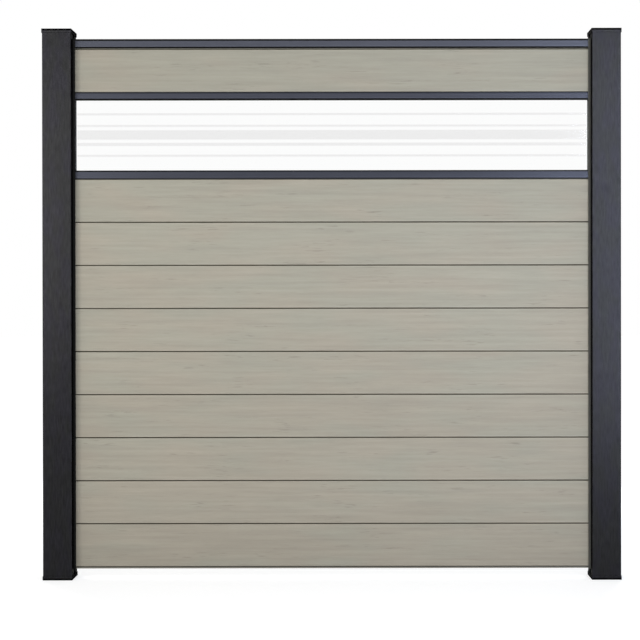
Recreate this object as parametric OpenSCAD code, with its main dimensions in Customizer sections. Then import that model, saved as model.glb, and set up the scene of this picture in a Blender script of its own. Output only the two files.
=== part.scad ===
// Privacy fence panel: one bay of slot-in composite boards with a glass insert,
// held between two square aluminium posts. Millimetres. The origin is the middle
// of the left post's flat underside, +X runs along the panel to the right post,
// -Y is the front and +Z is up.

/* [Posts] */
// Clear width between the two posts
clear_w = 1800; // [1000:10:2400]
// Side of the square posts
post_w = 100; // [90:1:130]
// Wall thickness of the post extrusion
post_wall = 3; // [2:0.5:4]
// Radius of the posts' outer corners
post_corner_r = 2.5; // [1:0.5:4]
// Radius of the screw ports in the posts' inner corners
screw_port_r = 2.2; // [1.8:0.1:2.6]
// Wall round a screw port
screw_port_wall = 2; // [1.5:0.25:2.5]
// Height of the cap tops above the top rail
post_rise = 30; // [20:1:120]
// Height of the open gap under the panel
ground_gap = 34; // [25:1:100]
// Depth of the groove down each post's inner side
groove_depth = 25; // [20:1:35]

/* [Caps and feet] */
// Thickness of the top plate of a post cap
cap_plate = 4; // [3:0.5:6]
// Height of a cap's skirt below its plate
cap_skirt = 10; // [6:1:12]
// Wall thickness of a cap's skirt
cap_wall = 2; // [1.5:0.5:4]
// Radius of the rounded edges round a cap's top
cap_edge_r = 2; // [1:0.5:2.5]
// Thickness of the floor plate of a post foot
foot_plate = 4; // [3:0.5:6]
// Height of a foot's skirt above its plate
foot_skirt = 9; // [6:1:14]
// Wall thickness of a foot's skirt
foot_wall = 1.5; // [1:0.5:3]
// Radius of the rounded edges round a foot's underside
foot_edge_r = 1; // [0.5:0.25:1.5]

/* [Groove liners] */
// Wall thickness of the U-shaped liner in each post groove
liner_wall = 2.5; // [2:0.5:3]
// How far a liner stands out of its post
liner_proud = 8; // [4:0.5:12]

/* [Boards] */
// Height that one board covers, from seam to seam
board_cover = 150; // [120:1:180]
// Thickness of a board
board_t = 20; // [18:0.5:24]
// Outer wall round a board's hollow chambers
board_wall = 4; // [3:0.5:5]
// Web between two chambers of a board
board_web = 4; // [3:0.5:6]
// Number of hollow chambers in a board
chamber_count = 4; // [3:1:5]
// Radius of the chambers' corners
chamber_r = 2.5; // [1:0.5:3.5]
// Open gap between the shoulders of two boards
seam_gap = 3; // [1:0.25:4]
// Bevel along a board's long edges
seam_bevel = 1.5; // [1:0.25:3]
// Thickness of the tongue along a board's top edge
tongue_t = 6; // [5:0.5:7]
// Height of the tongue above the board's shoulders
tongue_h = 12; // [10:0.5:13]
// Bevel round the tip of the tongue
tongue_bevel = 1; // [0.5:0.25:1.5]

/* [Rails] */
// How far the rails stand proud of the boards on each face
rail_proud = 2; // [1.5:0.25:4]
// Thickness of the rails' walls and webs
rail_wall = 2; // [1.5:0.25:2.5]
// Height of the recessed lip along a rail's long edges
lip_h = 3.5; // [2.5:0.5:6]
// How far those lips and the top rail's crown are set back
lip_step = 1.5; // [0.5:0.25:1.5]
// Height of the rail under the lowest board
bottom_rail_h = 4; // [4:0.5:16]
// Height of the rail under the glass
lower_rail_h = 28; // [27:0.5:45]
// Height of the rail over the glass
upper_rail_h = 24; // [23:0.5:45]
// Height of the rail along the panel's top
top_rail_h = 32; // [26:0.5:60]
// Height of the narrower crown along the top rail
crown_h = 5; // [3:0.5:8]
// Height of the top board's tongue left in view below the top rail
tongue_show = 5; // [3:0.5:7]
// Radius of the top rail's upper edges
top_rail_r = 1; // [0.5:0.25:2]

/* [Glass insert] */
// Height of glass in view between its rails
glass_show = 247; // [150:1:420]
// Thickness of the glass
glass_t = 6; // [5:0.5:8]
// Depth of glass held in each rail
glass_bite = 12; // [8:0.5:12.5]
// Thickness of the rubber seal round the glass
seal_t = 2; // [1.5:0.25:2.5]
// Height of the rubber bead that shows beside each glass rail
seal_show = 1.5; // [1:0.25:3]
// How far the upright seals stop short of a liner's mouth
seal_inset = 1; // [0.5:0.25:2]

/* [Fits] */
// Clearance between pieces that slide into or over each other
fit_gap = 0.3; // [0.2:0.05:0.5]
// Room for the panel to grow at each end in its liner
end_play = 5; // [3:0.5:8]

/* [Hidden] */
$fn = 32;

// Boards below the glass insert
BOARD_ROWS = 9;
// Overshoot of a cut past the face that it opens
CUT = 1;

// Across the panel
post_pitch = clear_w + post_w;
rail_t = board_t + 2 * rail_proud;
liner_in = rail_t + 2 * fit_gap;
liner_out = liner_in + 2 * liner_wall;
groove_w = liner_out + 2 * fit_gap;
liner_floor = post_w / 2 - groove_depth + liner_wall;
liner_mouth = post_w / 2 + liner_proud;
panel_start = liner_floor + end_play;
panel_len = post_pitch - 2 * panel_start;

// Socket that takes a tongue, shared by the boards and the rails
socket_w = tongue_t + 2 * fit_gap;
socket_d = tongue_h - seam_gap;
shoulder_h = board_cover - seam_gap;

// Glass channel shared by the two glass rails
channel_w = glass_t + 2 * seal_t;
channel_d = glass_bite + seal_t;

// Up the panel
z_panel = ground_gap;
z_boards = z_panel + bottom_rail_h + seam_gap;
z_insert = z_boards + BOARD_ROWS * board_cover;
z_glass = z_insert + lower_rail_h;
z_upper_rail = z_glass + glass_show;
z_top_board = z_upper_rail + upper_rail_h + seam_gap;
z_top_rail = z_top_board + shoulder_h + tongue_show;
z_panel_top = z_top_rail + top_rail_h;
z_cap_top = z_panel_top + post_rise;

anthracite = [0.25, 0.25, 0.28];
rail_grey = [0.35, 0.36, 0.41];
greige = [0.68, 0.66, 0.60];
rubber_black = [0.06, 0.06, 0.06];
satin_glass = [0.90, 0.95, 0.95];

// Rectangle with rounded corners, centred on the origin
module rounded_rect(w, h, r) {
    square([w - 2 * r, h], center = true);
    square([w, h - 2 * r], center = true);
    for (x = [-1, 1], y = [-1, 1])
        translate([x * (w / 2 - r), y * (h / 2 - r)]) circle(r);
}

// Rectangle that stands on the X axis and has only its two upper corners rounded
module round_topped(w, h, r) {
    translate([-w / 2, 0]) square([w, h - r]);
    translate([-w / 2 + r, 0]) square([w - 2 * r, h]);
    for (x = [-1, 1])
        translate([x * (w / 2 - r), h - r]) circle(r);
}

// Sweeps a section drawn in depth and height along the length of the panel
module along_panel(z) {
    translate([panel_start, 0, z])
        rotate([90, 0, 90]) linear_extrude(panel_len) children();
}

// Puts the left post's pieces at the right post, turned to face the panel
module at_right_post() {
    translate([post_pitch, 0, 0]) mirror([1, 0, 0]) children();
}

// ---- Posts, caps, feet and liners, drawn for the left post ----

// Open round port for a cap or foot screw, with its mouth towards the post's middle
module screw_port() {
    outer_r = screw_port_r + screw_port_wall;
    difference() {
        circle(outer_r);
        circle(screw_port_r);
        rotate(45) translate([0, -screw_port_r / 2]) square([outer_r + CUT, screw_port_r]);
    }
}

module post_section() {
    web_y = groove_w / 2 + post_wall;
    chamber_y = post_w / 2 - post_wall - web_y;
    inner_w = post_w - 2 * post_wall;
    core_x = inner_w - groove_depth;
    port_at = -inner_w / 2 + screw_port_r + screw_port_wall / 2;
    difference() {
        rounded_rect(post_w, post_w, post_corner_r);
        for (y = [-1, 1])
            translate([0, y * (web_y + chamber_y / 2)])
                square([inner_w, chamber_y], center = true);
        translate([-inner_w / 2, -groove_w / 2]) square([core_x, groove_w]);
        translate([post_w / 2 - groove_depth, -groove_w / 2])
            square([groove_depth + CUT, groove_w]);
    }
    for (x = [0, 1], y = [0, 1])
        mirror([x, 0]) mirror([0, y]) translate([port_at, port_at]) screw_port();
}

module post() {
    color(anthracite) translate([0, 0, foot_plate])
        linear_extrude(z_cap_top - cap_plate - foot_plate) post_section();
}

// Plate with a skirt that slips over a post's end, drawn with the plate on top
module end_piece(plate, skirt, wall, edge_r) {
    outer = post_w + 2 * (fit_gap + wall);
    inner = post_w + 2 * fit_gap;
    height = plate + skirt;
    difference() {
        intersection() {
            linear_extrude(height) rounded_rect(outer, outer, post_corner_r + wall);
            translate([0, outer / 2, 0]) rotate([90, 0, 0])
                linear_extrude(outer) round_topped(outer, height, edge_r);
            translate([-outer / 2, 0, 0]) rotate([90, 0, 90])
                linear_extrude(outer) round_topped(outer, height, edge_r);
        }
        translate([0, 0, -CUT])
            linear_extrude(skirt + CUT) rounded_rect(inner, inner, post_corner_r + fit_gap);
    }
}

module post_cap() {
    color(anthracite) translate([0, 0, z_cap_top - cap_plate - cap_skirt])
        end_piece(cap_plate, cap_skirt, cap_wall, cap_edge_r);
}

module post_foot() {
    color(anthracite) translate([0, 0, foot_plate + foot_skirt]) mirror([0, 0, 1])
        end_piece(foot_plate, foot_skirt, foot_wall, foot_edge_r);
}

// U shape with two round lips, seen from above
module liner_section() {
    back = post_w / 2 - groove_depth;
    lip_r = liner_wall / 2;
    difference() {
        translate([back, -liner_out / 2]) square([liner_mouth - lip_r - back, liner_out]);
        translate([liner_floor, -liner_in / 2]) square([liner_mouth, liner_in]);
    }
    for (y = [-1, 1])
        translate([liner_mouth - lip_r, y * (liner_in / 2 + lip_r)]) circle(lip_r);
}

// Liner that takes the ends of the boards, closed by a plate under the panel
module groove_liner() {
    color(rubber_black) {
        translate([0, 0, z_panel]) linear_extrude(z_panel_top - z_panel) liner_section();
        translate([post_w / 2 - groove_depth, -liner_out / 2, z_panel - liner_wall])
            cube([groove_depth + liner_proud - liner_wall / 2, liner_out, liner_wall]);
    }
}

// ---- Boards ----

// Tongue with a bevelled tip, standing on the X axis
module tongue() {
    half = tongue_t / 2;
    polygon([
        [-half, -CUT], [half, -CUT], [half, tongue_h - tongue_bevel],
        [half - tongue_bevel, tongue_h], [-half + tongue_bevel, tongue_h],
        [-half, tongue_h - tongue_bevel]
    ]);
}

// Slot with a bevelled mouth that opens downwards and takes a tongue
module socket(depth) {
    half = socket_w / 2;
    polygon([
        [-half - tongue_bevel, -CUT], [half + tongue_bevel, -CUT], [half + tongue_bevel, 0],
        [half, tongue_bevel], [half, depth], [-half, depth], [-half, tongue_bevel],
        [-half - tongue_bevel, 0]
    ]);
}

module board_chambers() {
    first = socket_d + board_wall;
    room = shoulder_h - board_wall - first;
    chamber_h = (room - (chamber_count - 1) * board_web) / chamber_count;
    for (i = [0 : chamber_count - 1])
        translate([0, first + chamber_h / 2 + i * (chamber_h + board_web)])
            rounded_rect(board_t - 2 * board_wall, chamber_h, chamber_r);
}

module board_section() {
    half = board_t / 2;
    difference() {
        union() {
            polygon([
                [-half + seam_bevel, 0], [half - seam_bevel, 0], [half, seam_bevel],
                [half, shoulder_h - seam_bevel], [half - seam_bevel, shoulder_h],
                [-half + seam_bevel, shoulder_h], [-half, shoulder_h - seam_bevel],
                [-half, seam_bevel]
            ]);
            translate([0, shoulder_h]) tongue();
        }
        socket(socket_d);
        board_chambers();
    }
}

module board(z) {
    color(greige) along_panel(z) board_section();
}

// ---- Rails ----

// Block of a rail's full thickness with a recessed lip along its long edges
module rail_block(h) {
    translate([-rail_t / 2 + lip_step, 0]) square([rail_t - 2 * lip_step, h]);
    translate([-rail_t / 2, lip_h]) square([rail_t, h - 2 * lip_h]);
}

// Slot for the glass and its seal, opening upwards from the height given
module glass_channel(floor_z) {
    translate([-channel_w / 2, floor_z]) square([channel_w, channel_d + CUT]);
}

module bottom_rail() {
    inner_w = rail_t - 2 * rail_wall;
    color(rail_grey) along_panel(z_panel) {
        difference() {
            translate([-rail_t / 2, 0]) square([rail_t, bottom_rail_h]);
            translate([-inner_w / 2, -CUT]) square([inner_w, bottom_rail_h - rail_wall + CUT]);
        }
        translate([0, bottom_rail_h]) tongue();
    }
}

module lower_glass_rail() {
    color(rail_grey) along_panel(z_insert) difference() {
        rail_block(lower_rail_h);
        socket(socket_d);
        glass_channel(lower_rail_h - channel_d);
    }
}

module upper_glass_rail() {
    hollow_w = rail_t - 2 * (lip_step + rail_wall);
    hollow_h = upper_rail_h - channel_d - 2 * rail_wall;
    color(rail_grey) along_panel(z_upper_rail) {
        difference() {
            rail_block(upper_rail_h);
            translate([0, channel_d]) mirror([0, 1]) glass_channel(0);
            translate([-hollow_w / 2, channel_d + rail_wall]) square([hollow_w, hollow_h]);
        }
        translate([0, upper_rail_h]) tongue();
    }
}

module top_rail() {
    grip = tongue_h - tongue_show;
    lip_w = rail_t - 2 * lip_step;
    hollow_w = lip_w - 2 * rail_wall;
    hollow_z = grip + rail_wall;
    color(rail_grey) along_panel(z_top_rail) difference() {
        union() {
            translate([-lip_w / 2, 0]) square([lip_w, top_rail_h - crown_h]);
            translate([-rail_t / 2, lip_h]) square([rail_t, top_rail_h - crown_h - lip_h]);
            translate([0, top_rail_h - crown_h]) round_topped(lip_w, crown_h, top_rail_r);
        }
        socket(grip);
        translate([-hollow_w / 2, hollow_z])
            square([hollow_w, top_rail_h - hollow_z - rail_wall]);
    }
}

// ---- Glass and its seals ----

module glass_panel() {
    color(satin_glass) along_panel(z_glass - glass_bite)
        translate([-glass_t / 2, 0]) square([glass_t, glass_show + 2 * glass_bite]);
}

// U-shaped seal round a long edge of the glass, opening upwards
module edge_seal_section() {
    difference() {
        translate([-channel_w / 2, 0]) square([channel_w, channel_d + seal_show]);
        translate([-glass_t / 2, seal_t]) square([glass_t, channel_d + seal_show]);
    }
}

module lower_glass_seal() {
    color(rubber_black) along_panel(z_glass - channel_d) edge_seal_section();
}

module upper_glass_seal() {
    color(rubber_black) along_panel(z_upper_rail + channel_d) mirror([0, 1]) edge_seal_section();
}

// Rubber block that packs the end of the glass in its liner, drawn for the left end
module end_glass_seal() {
    start = liner_floor + fit_gap;
    color(rubber_black) translate([0, 0, z_glass + seal_show])
        linear_extrude(glass_show - 2 * seal_show) difference() {
            translate([start, -rail_t / 2])
                square([liner_mouth - seal_inset - start, rail_t]);
            translate([panel_start, -glass_t / 2]) square([liner_mouth, glass_t]);
        }
}

post();  // left_post
at_right_post() post();  // right_post
post_cap();  // left_post_cap
at_right_post() post_cap();  // right_post_cap
post_foot();  // left_post_foot
at_right_post() post_foot();  // right_post_foot
groove_liner();  // left_groove_liner
at_right_post() groove_liner();  // right_groove_liner
bottom_rail();
for (row = [1 : BOARD_ROWS])
    board(z_boards + (row - 1) * board_cover);
lower_glass_rail();
lower_glass_seal();
glass_panel();
end_glass_seal();  // left_glass_seal
at_right_post() end_glass_seal();  // right_glass_seal
upper_glass_seal();
upper_glass_rail();
board(z_top_board);  // top_board
top_rail();
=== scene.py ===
"""Looks of one bay of slot-in privacy fence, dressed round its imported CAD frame.

Metres, in the frame's own axes: +X along the panel, -Y the front and +Z up.
"""

import math

import bmesh
import bpy
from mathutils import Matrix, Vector

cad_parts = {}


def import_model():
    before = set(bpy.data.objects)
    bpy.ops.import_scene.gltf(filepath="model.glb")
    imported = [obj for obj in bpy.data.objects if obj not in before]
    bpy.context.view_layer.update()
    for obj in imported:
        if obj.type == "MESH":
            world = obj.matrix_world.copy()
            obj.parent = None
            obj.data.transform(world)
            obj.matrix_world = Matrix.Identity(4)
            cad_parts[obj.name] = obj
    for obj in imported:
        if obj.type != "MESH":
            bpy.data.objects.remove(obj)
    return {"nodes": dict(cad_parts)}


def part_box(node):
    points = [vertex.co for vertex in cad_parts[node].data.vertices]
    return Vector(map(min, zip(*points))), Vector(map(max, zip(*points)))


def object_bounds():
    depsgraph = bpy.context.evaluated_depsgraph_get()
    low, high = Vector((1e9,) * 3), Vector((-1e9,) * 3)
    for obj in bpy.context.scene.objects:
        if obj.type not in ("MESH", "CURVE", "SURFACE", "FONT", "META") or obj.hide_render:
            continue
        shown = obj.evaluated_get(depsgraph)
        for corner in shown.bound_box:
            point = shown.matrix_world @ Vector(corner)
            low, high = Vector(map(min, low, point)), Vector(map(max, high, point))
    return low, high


# Nodes of the frame, grouped by the finish that they take
POSTS = ("left_post", "right_post")
END_PIECES = ("left_post_cap", "right_post_cap", "left_post_foot", "right_post_foot")
LEFT_LINER, RIGHT_LINER = "left_groove_liner", "right_groove_liner"
LOWER_BOARDS = tuple(f"board_{n}" for n in range(1, 10))
TOP_BOARD = "top_board"
SEALS = ("left_glass_seal", "right_glass_seal", "lower_glass_seal", "upper_glass_seal")
PANE = "glass_panel"

TONGUE = 0.012  # height of the tongues along the boards and rails
LIP = 0.0035  # height of the recessed lips along the rails
CROWN = 0.005  # height of the narrower crown along the top rail
END_RIM = 0.0068  # height of the black edge of painted shade round caps and feet


# ---------------------------------------------------------------- node graphs


class Graph:
    """The node tree of a material or world, with short calls for what it holds."""

    def __init__(self, owner):
        owner.use_nodes = True
        self.tree = owner.node_tree
        self.tree.nodes.clear()

    def add(self, kind, **settings):
        node = self.tree.nodes.new(kind)
        for name, value in settings.items():
            setattr(node, name, value)
        return node

    def feed(self, socket, value):
        """Links a source socket into socket, or sets a plain value on it."""
        if isinstance(value, bpy.types.NodeSocket):
            self.tree.links.new(value, socket)
        else:
            socket.default_value = value

    def math(self, operation, *values):
        node = self.add("ShaderNodeMath", operation=operation)
        for socket, value in zip(node.inputs, values):
            self.feed(socket, value)
        return node.outputs[0]

    def split(self, vector):
        """The x, y and z of a vector."""
        parts = self.add("ShaderNodeSeparateXYZ")
        self.feed(parts.inputs[0], vector)
        return parts.outputs[0], parts.outputs[1], parts.outputs[2]

    def axes(self):
        """The x, y and z of a point in the frame, in metres."""
        return self.split(self.add("ShaderNodeTexCoord").outputs["Object"])

    def levelness(self):
        """How far the surface faces up or down: 0 on a wall, 1 on a level face."""
        upward = self.split(self.add("ShaderNodeTexCoord").outputs["Normal"])[2]
        return self.math("ABSOLUTE", upward)

    def gap(self, first, second):
        """How far apart two values are."""
        return self.math("ABSOLUTE", self.math("SUBTRACT", first, second))

    def stretch(self, place, lengths):
        """place divided by a length for each axis, which sizes a pattern's features."""
        joined = self.add("ShaderNodeCombineXYZ")
        for socket, value, length in zip(joined.inputs, place, lengths):
            self.feed(socket, self.math("DIVIDE", value, length))
        return joined.outputs[0]

    def noise(self, place, lengths, detail=2.0, roughness=0.5, distortion=0.0):
        """Noise from 0 to 1 whose features have these lengths along x, y and z."""
        node = self.add("ShaderNodeTexNoise")
        self.feed(node.inputs["Vector"], self.stretch(place, lengths))
        node.inputs["Scale"].default_value = 1.0
        node.inputs["Detail"].default_value = detail
        node.inputs["Roughness"].default_value = roughness
        node.inputs["Distortion"].default_value = distortion
        return node.outputs["Fac"]

    def ramp(self, value, low, high, to_low=0.0, to_high=1.0):
        """value eased from to_low at low to to_high at high."""
        node = self.add("ShaderNodeMapRange", interpolation_type="SMOOTHSTEP")
        for socket, number in zip(node.inputs, (value, low, high, to_low, to_high)):
            self.feed(socket, number)
        return node.outputs[0]

    def swing(self, value, amount, middle=1.0):
        """A pattern of 0 to 1 made into middle plus or minus amount."""
        return self.math("MULTIPLY_ADD", value, 2 * amount, middle - amount)

    def lift(self, mask, amount):
        """A tone of 1, changed by amount where a mask of 0 to 1 is full."""
        return self.math("MULTIPLY_ADD", mask, amount, 1.0)

    def mixed(self, first, second, share=0.6):
        """Two patterns added up, the first with this share of the whole."""
        rest = self.math("MULTIPLY", second, 1.0 - share)
        return self.math("MULTIPLY_ADD", first, share, rest)

    def product(self, *values):
        total = values[0]
        for value in values[1:]:
            total = self.math("MULTIPLY", total, value)
        return total

    def blend(self, factor, first, second, kind="MIX"):
        """Two colours mixed by a factor."""
        node = self.add("ShaderNodeMix", data_type="RGBA", blend_type=kind)
        self.feed(node.inputs[0], factor)
        self.feed(node.inputs[6], first)
        self.feed(node.inputs[7], second)
        return node.outputs[2]

    def shaded(self, colour, tone):
        """A colour times a tone of about 1."""
        return self.blend(1.0, colour, tone, "MULTIPLY")

    def bump(self, height, distance, strength):
        node = self.add("ShaderNodeBump")
        node.inputs["Strength"].default_value = strength
        node.inputs["Distance"].default_value = distance
        self.feed(node.inputs["Height"], height)
        return node.outputs["Normal"]

    def seen_directly(self):
        """1 for camera, glossy and transmitted rays, which show the background."""
        path = self.add("ShaderNodeLightPath")
        seen = self.math(
            "MAXIMUM", path.outputs["Is Camera Ray"], path.outputs["Is Glossy Ray"]
        )
        return self.math("MAXIMUM", seen, path.outputs["Is Transmission Ray"])


class Finish(Graph):
    """A material on one Principled shader."""

    def __init__(self, name, **values):
        self.material = bpy.data.materials.new(name)
        super().__init__(self.material)
        self.shader = self.add("ShaderNodeBsdfPrincipled")
        self.out = self.add("ShaderNodeOutputMaterial")
        self.feed(self.out.inputs["Surface"], self.shader.outputs[0])
        for socket, value in values.items():
            self.set(socket.replace("_", " "), value)

    def set(self, socket, value):
        self.feed(self.shader.inputs[socket], value)


def colour(red, green, blue):
    return (red, green, blue, 1.0)


def grey(level):
    return colour(level, level, level)


# ------------------------------------------------------------------ materials


def board_composite(name, node, level):
    """Greige wood composite for the boards laid up from a node: fine streaked grain
    along each board, short darker smudges, a slow drift of hue that is warmer lower
    down, painted shade down in the seams, a tone a little darker towards the ground,
    and long edges painted a little lighter, as wear and a painted highlight. level is
    the boards' mean tone."""
    warm, cool = colour(0.427, 0.3815, 0.3045), colour(0.4105, 0.386, 0.3105)
    # Colour towards which the seams' painted shade goes
    seam_shade_colour = colour(0.03, 0.025, 0.011)
    row_shift = 2.37  # moves the grain of each board along, so that no two match
    through = 0.3  # length of the patterns through a board, where they hardly change
    # Where each starts and is full: the lighter edges and the painted shade in the
    # seams by the distance from a long edge, the seam shade also by the depth below a face
    rub_highlight_span, seam_shade_span = (0.0055, 0.002), (0.0019, -0.0004)
    depth_span = (0.0004, 0.0018)
    # Darkening towards the ground fades out between these heights over the lowest board's
    # underside
    ground_fade_low, ground_fade_high, ground_fade_tone = -0.05, 0.3, 0.93
    # Levels of the patterns between which each takes effect
    patch_span, fleck_span, bare_span = (0.53, 0.67), (0.54, 0.7), (0.3, 0.6)
    hue_span = (0.43, 0.81)
    cooler_up = 0.14  # the hue's change in each metre of height

    low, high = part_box("board_1")
    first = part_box(node)[0].z
    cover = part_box("board_2")[0].z - low.z
    shoulder = high.z - TONGUE - low.z
    start = round((first - low.z) / cover)  # rows below the first of these boards

    g = Finish(name, Specular_IOR_Level=0.25)
    x, y, z = g.axes()
    row = g.math("FLOOR", g.math("DIVIDE", g.math("SUBTRACT", z, first), cover))
    shift = g.math("MULTIPLY_ADD", row, row_shift, start * row_shift)
    place = (g.math("ADD", shift, x), y, z)

    drift = g.noise(place, (0.7, through, 0.2), detail=1.0)
    band = g.noise(place, (0.5, through, 0.014), detail=2.0, roughness=0.45)
    streak = g.noise(place, (0.17, through, 0.0105), detail=3.0, roughness=0.5)
    fibre = g.noise(place, (0.035, through, 0.0018), detail=3.0, roughness=0.55)
    patches = g.noise(place, (0.2, through, 0.03), detail=1.0)
    flecks = g.noise(
        place, (0.06, through, 0.0048), detail=2.0, roughness=0.6, distortion=0.3
    )
    smudge = g.math(
        "MULTIPLY", g.ramp(patches, *patch_span), g.ramp(flecks, *fleck_span)
    )
    batch = g.add("ShaderNodeTexWhiteNoise", noise_dimensions="1D")
    g.feed(batch.inputs["W"], g.math("ADD", row, start + 0.5))

    within = g.math("SUBTRACT", z, g.math("MULTIPLY_ADD", row, cover, first))
    to_edge = g.math("MINIMUM", within, g.math("SUBTRACT", shoulder, within))
    # Long edges painted lighter: wear and a painted highlight along the bevels
    rub_and_highlight = g.math(
        "MULTIPLY", g.ramp(to_edge, *rub_highlight_span), g.ramp(streak, *bare_span)
    )
    depth = g.math("SUBTRACT", high.y, g.math("ABSOLUTE", y))
    # Painted shade down in the seams, deeper below the face
    seam_shade = g.math(
        "MULTIPLY", g.ramp(depth, *depth_span), g.ramp(to_edge, *seam_shade_span)
    )
    # A tone a little darker towards the ground
    ground_fade = g.ramp(z, low.z + ground_fade_low, low.z + ground_fade_high, ground_fade_tone, 1.0)

    tone = g.product(
        g.swing(batch.outputs["Value"], 0.012, level),
        g.swing(drift, 0.035),
        g.swing(band, 0.12),
        g.swing(streak, 0.11),
        g.swing(fibre, 0.08),
        g.lift(smudge, -0.2),
        g.lift(rub_and_highlight, 0.07),
        ground_fade,
    )
    cloud = g.noise(place, (0.3, through, 0.09), detail=1.0)
    hue = g.ramp(g.math("MULTIPLY_ADD", z, cooler_up, cloud), *hue_span)
    unshaded_colour = g.shaded(g.blend(hue, warm, cool), tone)
    # The seams' painted shade, varied by the drift
    seam_shade_mix = g.product(seam_shade, g.swing(drift, 0.25, 0.9))
    g.set("Base Color", g.blend(seam_shade_mix, unshaded_colour, seam_shade_colour))
    grain = g.math("MULTIPLY", g.math("ADD", fibre, streak), 0.5)
    g.set("Roughness", g.swing(grain, 0.1, 0.62))
    g.set("Normal", g.bump(g.mixed(streak, fibre), distance=0.0006, strength=0.6))
    return g.material


def post_coating(name, drawn, rim=0.0):
    """Anthracite structure powder coat: a fine sandy grain, short upright streaks
    and soft mottling, faint lines drawn up the extrusion, and corners painted a little
    lighter, as wear and a painted highlight. drawn is the strength of the lines. rim is
    the height of a dull black edge of painted shade round the sides of caps and feet,
    whose level faces keep the anthracite; the rest of such a piece is painted a little
    lighter as a highlight, and a painted shadow runs along each skirt's free edge."""
    plain, violet = colour(0.0171, 0.0171, 0.0177), colour(0.0172, 0.0168, 0.0196)
    metal = 0.9
    rim_blur, rim_shade_tone, below_rim_lit_tone = 0.0008, 0.12, 1.15
    level_span = (0.93, 0.99)  # levelness over which a face comes to count as level
    skirt_shadow_span, skirt_shadow_tone = (0.001, 0.0032), 0.85  # painted shadow fades out from a skirt's edge
    wear_highlight_span = (0.0035, 0.0005)  # wear and painted highlight, by the distance from a corner
    bare_span, hue_span = (0.42, 0.6), (0.35, 0.65)  # levels of the patterns

    low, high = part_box("left_post")
    half = (high.x - low.x) / 2
    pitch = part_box("right_post")[0].x - low.x
    cap_edge, top = (corner.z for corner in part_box("left_post_cap"))
    foot_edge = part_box("left_post_foot")[1].z

    g = Finish(
        name,
        Metallic=metal,
        Specular_IOR_Level=0.0 if rim else 0.04,
        Specular_Tint=colour(0.15, 0.15, 0.14),
    )
    place = x, y, z = g.axes()
    streaks = g.noise(place, (0.005, 0.005, 0.036), detail=2.0, roughness=0.55)
    sand = g.noise(place, (0.0009, 0.0009, 0.0009), detail=2.0, roughness=0.6)
    mottle = g.noise(place, (0.02, 0.02, 0.035), detail=3.0, roughness=0.55)
    lines = g.noise(place, (0.0028, 0.0028, 0.9), detail=3.0, roughness=0.6)

    # With x folded by the posts' pitch, across runs from the middle of either post
    folded = g.math("FLOORED_MODULO", g.math("ADD", x, pitch / 2), pitch)
    across = g.gap(folded, pitch / 2)
    to_corner = g.math(
        "MAXIMUM",
        g.math("SUBTRACT", half, across),
        g.math("SUBTRACT", half, g.math("ABSOLUTE", y)),
    )
    # Corners painted lighter: wear and a painted highlight
    wear_and_highlight = g.math(
        "MULTIPLY", g.ramp(to_corner, *wear_highlight_span), g.ramp(mottle, *bare_span)
    )
    tone = g.product(
        g.swing(sand, 0.2),
        g.swing(streaks, 0.5),
        g.swing(mottle, 0.12),
        g.swing(lines, drawn),
        g.lift(wear_and_highlight, 0.5),
    )
    if rim:
        # A level face counts as further from the end than the rim is high
        level_face = g.ramp(g.levelness(), *level_span, 0.0, rim * 2)
        to_end = g.math(
            "ADD", level_face, g.math("MINIMUM", z, g.math("SUBTRACT", top, z))
        )
        to_skirt = g.math("MINIMUM", g.gap(z, cap_edge), g.gap(z, foot_edge))
        inside, outside = rim - rim_blur, rim + rim_blur
        # Painted shade on the rim, which is also dull, the rest painted lighter, and
        # painted shadow along the skirts
        tone = g.product(
            tone,
            g.ramp(to_end, inside, outside, rim_shade_tone, below_rim_lit_tone),
            g.ramp(to_skirt, *skirt_shadow_span, skirt_shadow_tone, 1.0),
        )
        g.set("Metallic", g.ramp(to_end, inside, outside, 0.0, metal))
    hue = g.ramp(g.noise(place, (0.03, 0.03, 0.09), detail=2.0), *hue_span)
    g.set("Base Color", g.shaded(g.blend(hue, plain, violet), tone))
    g.set("Roughness", g.swing(g.mixed(mottle, sand), 0.05, 0.33))
    relief = g.math("MULTIPLY_ADD", lines, drawn * 2, sand)
    g.set("Normal", g.bump(relief, distance=0.00025, strength=0.5))
    return g.material


NO_STRIP = (0.0, 0.0)


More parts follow.
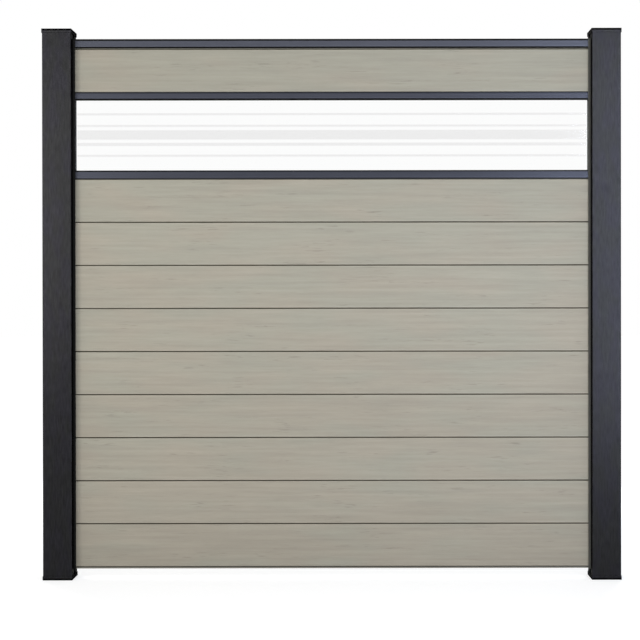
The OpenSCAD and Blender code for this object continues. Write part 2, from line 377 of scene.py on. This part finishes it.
def rail_aluminium(
    name, node, tint, shade_below=NO_STRIP, shade_above=NO_STRIP, tongue=0.0
):
    """Satin aluminium, brushed along the rail, with a painted highlight low on its face.
    The strips along its lower and upper edges, each given as a height and a depth of
    tone, are painted shade, blended towards black. tongue is the height of what stands
    up out of sight inside a board."""
    shade_black = grey(0.006)
    soft = 0.0004  # blur of a strip's edge
    highlight_low, highlight_mid, highlight_high = 0.0005, 0.0015, 0.0035  # heights over the lower strip

    low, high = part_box(node)
    g = Finish(
        name,
        Metallic=0.9,
        Specular_IOR_Level=0.1,
        Specular_Tint=grey(0.3),
    )
    place = g.axes()
    z = place[2]
    brush = g.noise(place, (0.22, 0.0007, 0.0007), detail=3.0, roughness=0.65)
    bands = g.noise(place, (0.5, 0.01, 0.006), detail=2.0)
    handled = g.noise(place, (0.05, 0.02, 0.02), detail=3.0, roughness=0.6)

    height, amount = shade_below
    lower = low.z + height
    below = g.ramp(z, lower + soft, lower - soft, 0.0, amount)
    height, amount = shade_above
    upper = high.z - tongue - height
    above = g.ramp(z, upper - soft, upper + soft, 0.0, amount)
    # Painted highlight along the face just over the lower strip
    lip_highlight = g.math(
        "MULTIPLY",
        g.ramp(z, lower, lower + highlight_low),
        g.ramp(z, lower + highlight_high, lower + highlight_mid),
    )
    tone = g.product(
        g.swing(brush, 0.16),
        g.swing(bands, 0.12),
        g.swing(handled, 0.05),
        g.lift(lip_highlight, 0.3),
    )
    # Painted shade in the strips along the edges
    shade_strip = g.math("MAXIMUM", below, above)
    g.set("Base Color", g.blend(shade_strip, g.shaded(tint, tone), shade_black))
    g.set("Roughness", g.swing(g.mixed(handled, brush), 0.1, 0.4))
    g.set("Normal", g.bump(brush, distance=0.00012, strength=0.5))
    return g.material


def black_liner(name, level):
    """Black extruded plastic, a little chalky, with fine draw lines up it. level is its
    tone: a shaded and a lit copy of the plastic paint the two liners' light and shade."""
    g = Finish(name, Specular_IOR_Level=0.12)
    place = g.axes()
    drawn = g.noise(place, (0.0012, 0.0012, 0.5), detail=2.0)
    chalk = g.noise(place, (0.012, 0.012, 0.05), detail=4.0, roughness=0.6)
    tone = g.product(g.swing(drawn, 0.25), g.swing(chalk, 0.3))
    g.set("Base Color", g.shaded(colour(level, level, level * 0.9), tone))
    g.set("Roughness", g.swing(chalk, 0.1, 0.6))
    g.set("Normal", g.bump(drawn, distance=0.0001, strength=0.4))
    return g.material


def rubber_seal():
    """Matte black rubber with a fine pitted skin."""
    rubber = colour(0.011, 0.011, 0.012)
    g = Finish("rubber_seal", Specular_IOR_Level=0.15)
    place = g.axes()
    pits = g.noise(place, (0.0007, 0.0007, 0.0007), detail=2.0)
    bloom = g.noise(place, (0.03, 0.01, 0.03), detail=3.0)
    tone = g.product(g.swing(pits, 0.2), g.swing(bloom, 0.25))
    g.set("Base Color", g.shaded(rubber, tone))
    g.set("Roughness", g.swing(bloom, 0.08, 0.75))
    g.set("Normal", g.bump(pits, distance=0.0001, strength=0.4))
    return g.material


# Satin stripes of the glass: the middle of each, below the top of the glass in
# view, and its height
STRIPES = (
    (0.0480, 0.0075),
    (0.0885, 0.0070),
    (0.1200, 0.0325),
    (0.1530, 0.0105),
    (0.1925, 0.0072),
)


def satin_glass():
    """Clear float glass, faintly smeared, with satin stripes etched along it."""
    clear_tint, etched_tint = colour(0.97, 0.975, 0.973), grey(0.835)
    shadow_tint = colour(0.9, 0.91, 0.905)
    inset = 0.006  # the stripes stop short of the glass's ends
    soft = 0.0012  # blur of a stripe's edges
    etched_roughness, smear_roughness = 0.09, 0.02

    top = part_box("upper_glass_seal")[0].z
    left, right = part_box("left_glass_seal")[1].x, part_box("right_glass_seal")[0].x
    g = Finish(
        "satin_glass",
        Transmission_Weight=1.0,
        IOR=1.5,
        Specular_IOR_Level=0.04,
    )
    place = g.axes()
    x, z = place[0], place[2]
    ends = g.math(
        "MULTIPLY",
        g.ramp(x, left + inset - soft, left + inset + soft),
        g.ramp(x, right - inset + soft, right - inset - soft),
    )
    frosted = 0.0
    for middle, height in STRIPES:
        away = g.gap(z, top - middle)
        stripe = g.ramp(away, height / 2 + soft, height / 2 - soft)
        frosted = g.math("MAXIMUM", frosted, stripe)
    frosted = g.math("MULTIPLY", frosted, ends)
    grit = g.noise(place, (0.0012, 0.0012, 0.0012), detail=2.0)
    smear = g.noise(place, (0.12, 0.02, 0.04), detail=3.0)
    etched = g.math("MULTIPLY", frosted, g.swing(grit, 0.12))

    g.set("Base Color", g.blend(etched, clear_tint, etched_tint))
    smeared = g.math("MULTIPLY", smear, smear_roughness)
    g.set("Roughness", g.math("MULTIPLY_ADD", etched, etched_roughness, smeared))
    pitted = g.math("MULTIPLY", etched, grit)
    g.set("Normal", g.bump(pitted, distance=0.00004, strength=0.3))

    # Lamps reach what stands behind the pane
    path = g.add("ShaderNodeLightPath")
    clear = g.add("ShaderNodeBsdfTransparent")
    clear.inputs["Color"].default_value = shadow_tint
    pane = g.add("ShaderNodeMixShader")
    g.feed(pane.inputs[0], path.outputs["Is Shadow Ray"])
    g.feed(pane.inputs[1], g.shader.outputs[0])
    g.feed(pane.inputs[2], clear.outputs[0])
    g.feed(g.out.inputs["Surface"], pane.outputs[0])
    return g.material


def dress(frame, names, material):
    """Gives a material to the frame's own nodes."""
    for name in names:
        for held in frame["nodes"][name].material_slots:
            held.material = material


def dress_all(frame):
    """Gives each node of the frame its finish."""
    lower_tone, top_shaded_tone = 0.944, 0.907  # mean tones of the boards; the top board takes a darker copy, painted shade
    left_shaded_level, right_lit_level = 0.005, 0.13  # tones of the liners: the left painted in shade, the right painted lit
    drawn = 0.07  # strength of the lines drawn up the posts
    slate = colour(0.0362, 0.0385, 0.0495)
    pale_slate = colour(0.0465, 0.0495, 0.0625)
    olive = colour(0.2, 0.19, 0.165)
    # Strips of painted shade along the rails: height and depth of tone
    shade_strip, half_shade_strip = (LIP + 0.0005, 1.0), (LIP, 0.45)
    hood_shade, crown_shade = (LIP + 0.0015, 1.0), (CROWN + 0.0018, 1.0)

    lower = board_composite("board_composite", LOWER_BOARDS[0], lower_tone)
    dress(frame, LOWER_BOARDS, lower)
    # The top board's darker copy paints the shade that falls on it
    upper = board_composite("top_board_composite_shaded", TOP_BOARD, top_shaded_tone)
    dress(frame, (TOP_BOARD,), upper)
    dress(frame, POSTS, post_coating("post_coating", drawn))
    dress(frame, END_PIECES, post_coating("end_piece_coating", 0.0, rim=END_RIM))
    # The liners are a shaded and a lit copy of one plastic, painted light and shade
    dress(frame, (LEFT_LINER,), black_liner("left_liner_shaded", left_shaded_level))
    dress(frame, (RIGHT_LINER,), black_liner("right_liner_lit", right_lit_level))
    dress(frame, SEALS, rubber_seal())
    dress(frame, (PANE,), satin_glass())
    rails = {
        "bottom_rail": dict(tint=olive),
        "lower_glass_rail": dict(tint=slate, shade_below=half_shade_strip, shade_above=shade_strip),
        "upper_glass_rail": dict(
            tint=slate, shade_below=shade_strip, shade_above=half_shade_strip, tongue=TONGUE
        ),
        "top_rail": dict(tint=pale_slate, shade_below=hood_shade, shade_above=crown_shade),
    }
    for node, looks in rails.items():
        dress(frame, (node,), rail_aluminium(f"{node}_finish", node, **looks))


# ---------------------------------------------------------------------- stage

WHITE = grey(1.0)
AMBIENT = 0.25  # light of the world on the object
FLOOR_SIZE = 60.0
FLOOR_DROP = 0.0005  # keeps the floor clear of the feet
FLOOR_TINT = grey(0.5)
NEAR, FAR = 1.4, 3.9  # distances between which the floor's glow rises
NEAR_GLOW, FAR_GLOW = 0.66, 0.9


def world():
    """White to look at, with AMBIENT as its light on the object."""
    scene_world = bpy.data.worlds.new("studio")
    bpy.context.scene.world = scene_world
    g = Graph(scene_world)
    background = g.add("ShaderNodeBackground")
    background.inputs["Color"].default_value = WHITE
    strength = g.math("MULTIPLY_ADD", g.seen_directly(), 1.0 - AMBIENT, AMBIENT)
    g.feed(background.inputs["Strength"], strength)
    out = g.add("ShaderNodeOutputWorld")
    g.feed(out.inputs["Surface"], background.outputs[0])


def floor(place):
    """A pale floor that keeps the object's shadow and fades into the background. Its
    glow is weaker near place, where the lamps light it and the shadow lies."""
    mesh = bpy.data.meshes.new("studio_floor")
    made = bmesh.new()
    bmesh.ops.create_grid(made, x_segments=1, y_segments=1, size=FLOOR_SIZE / 2)
    made.to_mesh(mesh)
    made.free()
    ground = bpy.data.objects.new("studio_floor", mesh)
    ground.location = place
    bpy.context.collection.objects.link(ground)

    material = bpy.data.materials.new("floor_white")
    g = Graph(material)
    matte = g.add("ShaderNodeBsdfDiffuse")
    matte.inputs["Color"].default_value = FLOOR_TINT
    glow = g.add("ShaderNodeEmission")
    glow.inputs["Color"].default_value = WHITE
    away = g.add("ShaderNodeVectorMath", operation="LENGTH")
    g.feed(away.inputs[0], g.add("ShaderNodeTexCoord").outputs["Object"])
    fade = g.ramp(away.outputs["Value"], NEAR, FAR, NEAR_GLOW, FAR_GLOW)
    g.feed(glow.inputs["Strength"], g.math("MULTIPLY", g.seen_directly(), fade))
    both = g.add("ShaderNodeAddShader")
    g.feed(both.inputs[0], matte.outputs[0])
    g.feed(both.inputs[1], glow.outputs[0])
    out = g.add("ShaderNodeOutputMaterial")
    g.feed(out.inputs["Surface"], both.outputs[0])
    mesh.materials.append(material)


def soft_lamp(name, place, aim, size, power, tint=(1.0, 1.0, 1.0)):
    """A softbox of this width and height at place, turned to aim."""
    data = bpy.data.lights.new(name, "AREA")
    data.shape = "RECTANGLE"
    data.size, data.size_y = size
    data.energy = power
    data.color = tint
    lamp = bpy.data.objects.new(name, data)
    lamp.location = place
    lamp.rotation_mode = "QUATERNION"
    lamp.rotation_quaternion = (Vector(aim) - Vector(place)).to_track_quat("-Z", "Y")
    lamp.visible_camera = False
    lamp.visible_transmission = False
    bpy.context.collection.objects.link(lamp)


def lamps(low, high):
    """Two upright softboxes and a high wide one, before the panel and behind it, and
    one beyond each end of it. The front ones stand where the glass doesn't mirror
    them, and those behind a little further out, clear of the view through it."""
    neutral, cool = (1.0, 1.0, 0.985), (0.785, 0.86, 0.99)
    left_size, right_size = (1.05, 1.55), (0.36, 2.1)
    top_size, end_size = (3.0, 0.7), (1.2, 2.0)
    left_power, right_power, end_power = 31.2, 38.4, 8.0
    left_out, right_out, end_out = 0.93, 0.45, 2.4  # beyond the panel's ends
    left_height, right_height, end_height = 1.44, 1.3, 1.3
    upright_away, top_away = 2.25, 5.2  # from the panel's plane
    aim_height, end_aim_height = 1.15, 0.95

    middle = (low.x + high.x) / 2
    aim = (middle, 0.0, aim_height)
    # Side, direction, how much further out, and the wide lamp's height and power
    sides = (("front", -1, 0.0, 3.1, 46.0), ("back", 1, 0.25, 4.8, 60.0))
    for side, facing, further, top_height, top_power in sides:
        beside = upright_away * facing
        left = (low.x - left_out - further, beside, left_height)
        right = (high.x + right_out + further, beside, right_height)
        top = (middle, top_away * facing, top_height)
        soft_lamp(f"{side}_left", left, aim, left_size, left_power, neutral)
        soft_lamp(f"{side}_right", right, aim, right_size, right_power, cool)
        soft_lamp(f"{side}_top", top, aim, top_size, top_power)
    for side, end, beyond in (("left", low.x, -end_out), ("right", high.x, end_out)):
        place, end_aim = (end + beyond, 0.0, end_height), (end, 0.0, end_aim_height)
        soft_lamp(f"{side}_end", place, end_aim, end_size, end_power)


def camera(low, high):
    """The photograph's view: a little right of the middle, square to the panel."""
    lens, film = 84.2, 36.0  # millimetres
    aside, distance, height = 0.0947, 5.2219, 0.9858
    downward, roll = 0.242, 0.074  # degrees
    data = bpy.data.cameras.new("view")
    data.sensor_width = film
    data.lens = lens
    data.shift_x, data.shift_y = -0.0612, -0.0293
    seat = bpy.data.objects.new("view", data)
    middle = (low.x + high.x) / 2
    seat.location = (middle + aside, -distance, height)
    seat.rotation_euler = (math.radians(90 - downward), math.radians(roll), 0.0)
    bpy.context.collection.objects.link(seat)
    bpy.context.scene.camera = seat


def stage(low, high):
    """What stands round the object: world, floor, lamps and camera."""
    bpy.context.scene.view_settings.view_transform = "Standard"
    world()
    floor(((low.x + high.x) / 2, 0.0, low.z - FLOOR_DROP))
    lamps(low, high)
    camera(low, high)


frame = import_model()
cad_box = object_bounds()
dress_all(frame)
stage(*cad_box)
